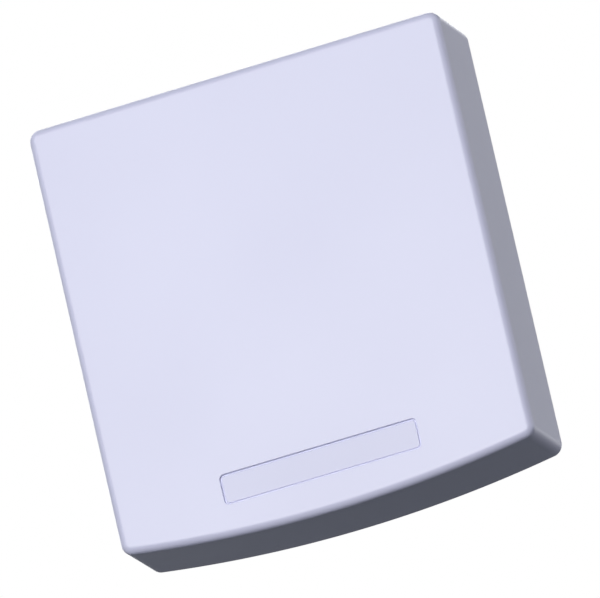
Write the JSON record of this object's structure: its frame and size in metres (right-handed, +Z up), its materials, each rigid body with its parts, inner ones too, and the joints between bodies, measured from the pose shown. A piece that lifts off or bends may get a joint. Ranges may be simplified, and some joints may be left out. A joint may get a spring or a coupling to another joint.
{
  "type": "flat panel antenna",
  "caption": "Square directional panel antenna with a bowed lower edge, a coaxial jack on its back and a tilting bracket that clamps to a round mast.",
  "frame": {"origin": "on the axis of the mast that the clamp holds, level with the middle of the panel", "axes": "+Z up along the mast, -Y the way the panel faces, +X to the right as seen from in front"},
  "size_m": [0.17, 0.1784, 0.18],
  "materials": {
    "radome_plastic": "fine moulded texture, pale lavender white",
    "plate_aluminium": "rolled sheet, clear passivated",
    "gasket_rubber": "black silicone",
    "stainless": "plain stainless",
    "tinned_brass": "tin plated brass sheet",
    "acetal": "natural acetal",
    "nickel_brass": "nickel plated brass",
    "ptfe": "white fluoropolymer",
    "gold_plate": "gold plated contact",
    "black_nylon": "black moulded nylon",
    "galvanised_steel": "hot dip galvanised, faint spangle"
  },
  "bodies": {
    "mast_clamp": {"mast_bracket": "galvanised_steel", "pivot_bolt": "stainless", "pivot_nut": "stainless", "pivot_washer_left": "stainless", "pivot_washer_right": "stainless", "clamp_bolt_left": "stainless", "clamp_bolt_right": "stainless"},
    "panel": {"radome": "radome_plastic", "back_plate": "plate_aluminium", "rim_gasket": "gasket_rubber", "cover_screw_1": "stainless", "cover_screw_2": "stainless", "cover_screw_3": "stainless", "cover_screw_4": "stainless", "cover_screw_5": "stainless", "cover_screw_6": "stainless", "cover_screw_7": "stainless", "cover_screw_8": "stainless", "patch_post_1": "stainless", "patch_post_2": "stainless", "patch_post_3": "stainless", "patch_post_4": "stainless", "driven_plate": "tinned_brass", "director_spacer_1": "acetal", "director_spacer_2": "acetal", "director_spacer_3": "acetal", "director_spacer_4": "acetal", "director_1": "plate_aluminium", "director_2": "plate_aluminium", "director_3": "plate_aluminium", "director_4": "plate_aluminium", "director_screw_1": "acetal", "director_screw_2": "acetal", "director_screw_3": "acetal", "director_screw_4": "acetal", "connector_body": "nickel_brass", "connector_nut": "nickel_brass", "connector_seal": "gasket_rubber", "connector_insulator": "ptfe", "connector_pin": "gold_plate", "vent_plug": "black_nylon", "bracket_stud_1": "stainless", "bracket_stud_2": "stainless", "bracket_stud_3": "stainless", "bracket_stud_4": "stainless", "stud_nut_1": "stainless", "stud_nut_2": "stainless", "stud_nut_3": "stainless", "stud_nut_4": "stainless", "panel_bracket": "galvanised_steel", "lock_bolt_left": "stainless", "lock_bolt_right": "stainless", "lock_nut_left": "stainless", "lock_nut_right": "stainless"},
    "jaw": {"clamp_jaw": "galvanised_steel", "clamp_washer_left": "stainless", "clamp_washer_right": "stainless", "clamp_nut_left": "stainless", "clamp_nut_right": "stainless"}
  },
  "joints": [
    {"name": "panel_tilt", "type": "hinge", "parent": "mast_clamp", "child": "panel", "pos_m": [0, -0.0546, -0.012], "axis": [1, 0, 0], "range_deg": [-25, 25]},
    {"name": "jaw_slide", "type": "slide", "parent": "mast_clamp", "child": "jaw", "axis": [0, 1, 0], "range_m": [-0.014, 0.012]}
  ]
}
